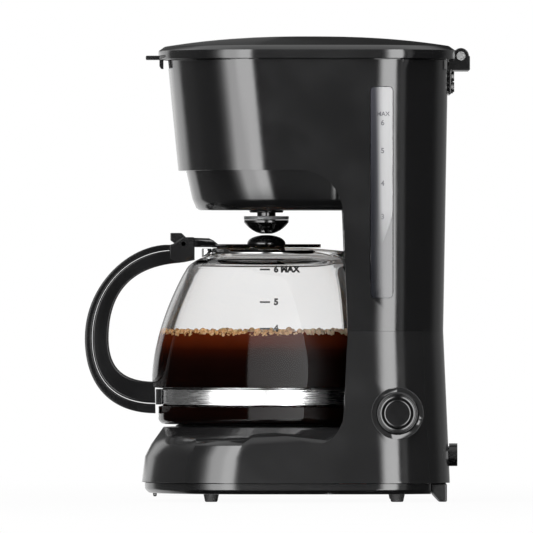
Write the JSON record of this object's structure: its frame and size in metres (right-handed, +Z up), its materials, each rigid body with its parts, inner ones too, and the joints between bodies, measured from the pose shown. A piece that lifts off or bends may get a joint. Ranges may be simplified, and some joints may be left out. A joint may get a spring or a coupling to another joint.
{
  "type": "drip coffee maker",
  "caption": "Drip coffee maker with a hinged lid, tank gauge, filter basket, drip valve, warming plate, push switch and a glass carafe on its plate.",
  "frame": {"origin": "on the counter, below the middle of the machine's width and depth", "axes": "+Z up, -Y towards the front where the carafe comes out, +X towards the side with the switch and the water gauge"},
  "size_m": [0.166, 0.2084, 0.2516],
  "materials": {
    "housing_plastic": "glossy dark grey moulded plastic",
    "lower_plastic": "glossy dark grey moulded plastic",
    "black_plastic": "glossy black moulded plastic",
    "base_plastic": "satin dark plastic",
    "foot_rubber": "soft black rubber",
    "gasket_rubber": "dark grey silicone",
    "seal_rubber": "pale translucent silicone",
    "hose_silicone": "milky silicone hose",
    "tank_plastic": "translucent water tank plastic",
    "window_plastic": "frosted clear plastic",
    "white_plastic": "off-white heat resistant plastic",
    "screw_steel": "zinc plated steel",
    "dark_steel": "darkened steel",
    "band_steel": "brushed stainless steel",
    "collar_steel": "dark steel collar",
    "pipe_aluminium": "extruded aluminium",
    "plate_enamel": "non-stick coated steel",
    "ceramic": "ceramic body",
    "lead_insulation": "insulated lead",
    "mesh_gold": "fine metal mesh",
    "jug_glass": "clear borosilicate glass",
    "coffee_liquid": "black coffee",
    "mark_ink": "printed mark",
    "gauge_ink": "printed grey mark"
  },
  "bodies": {
    "machine": {"upper_housing": "housing_plastic", "lower_housing": "lower_plastic", "base_plate": "base_plastic", "rubber_feet": "foot_rubber", "heel_block": "base_plastic", "base_screws": "screw_steel", "seam_screws": "screw_steel", "brew_bowl": "housing_plastic", "water_tank": "tank_plastic", "gauge_window": "window_plastic", "gauge_marks": "gauge_ink", "riser_tube": "white_plastic", "water_spout": "white_plastic", "tank_hose": "hose_silicone", "inlet_hose": "hose_silicone", "outlet_hose": "hose_silicone", "check_valve": "white_plastic", "water_heater": "pipe_aluminium", "heating_rod": "dark_steel", "heater_strap": "screw_steel", "strap_screws": "screw_steel", "warming_plate": "plate_enamel", "plate_gasket": "gasket_rubber", "thermostat": "ceramic", "thermal_fuse": "ceramic", "switch_bezel": "black_plastic", "switch_body": "base_plastic", "button_spring": "screw_steel", "terminal_block": "white_plastic", "wire_leads": "lead_insulation", "cord_gland": "black_plastic", "hinge_bracket": "black_plastic", "bracket_screws": "dark_steel", "hinge_pin": "dark_steel"},
    "top_lid": {"lid_shell": "housing_plastic", "lid_liner": "black_plastic", "water_spreader": "white_plastic"},
    "filter_holder": {"filter_basket": "black_plastic", "basket_handle": "black_plastic", "mesh_filter": "mesh_gold"},
    "drip_valve": {"valve_stem": "black_plastic", "valve_washer": "seal_rubber", "valve_cup": "black_plastic", "valve_seal": "seal_rubber", "valve_spring": "screw_steel"},
    "ball": {"check_ball": "screw_steel"},
    "button": {"power_button": "black_plastic"},
    "carafe": {"glass_jug": "jug_glass", "coffee": "coffee_liquid", "steel_band": "band_steel", "band_clamp": "black_plastic", "neck_collar": "collar_steel", "handle_grip": "black_plastic", "handle_spine": "black_plastic", "jug_marks": "mark_ink", "jug_lid_pin": "dark_steel"},
    "carafe_lid": {"jug_lid": "black_plastic", "jug_lid_dome": "black_plastic"}
  },
  "joints": [
    {"name": "lid_hinge", "type": "hinge", "parent": "machine", "child": "top_lid", "pos_m": [0, 0.0993, 0.2406], "axis": [-1, 0, 0], "range_deg": [0, 95]},
    {"name": "basket_lift", "type": "slide", "parent": "machine", "child": "filter_holder", "axis": [0, 0, 1], "range_m": [0, 0.08]},
    {"name": "carafe_pull", "type": "slide", "parent": "machine", "child": "carafe", "axis": [0, -1, 0], "range_m": [0, 0.4]},
    {"name": "carafe_lid_hinge", "type": "hinge", "parent": "carafe", "child": "carafe_lid", "pos_m": [0, -0.0507, 0.1391], "axis": [1, 0, 0], "range_deg": [0, 80]},
    {"name": "button_press", "type": "slide", "parent": "machine", "child": "button", "axis": [-1, 0, 0], "range_m": [0, 0.0018], "stiffness_N_per_m": 600},
    {"name": "valve_lift", "type": "slide", "parent": "machine", "child": "drip_valve", "axis": [0, 0, 1], "range_m": [0, 0.0015], "stiffness_N_per_m": 120, "deforming": ["valve_spring"]},
    {"name": "ball_lift", "type": "slide", "parent": "machine", "child": "ball", "axis": [0, 0, 1], "range_m": [0, 0.002]}
  ],
  "couplings": [
    {"joint": "basket_lift", "follows": "lid_hinge", "m_per_rad": 0.045},
    {"joint": "carafe_lid_hinge", "follows": "carafe_pull", "rad_per_m": 2.18}
  ]
}
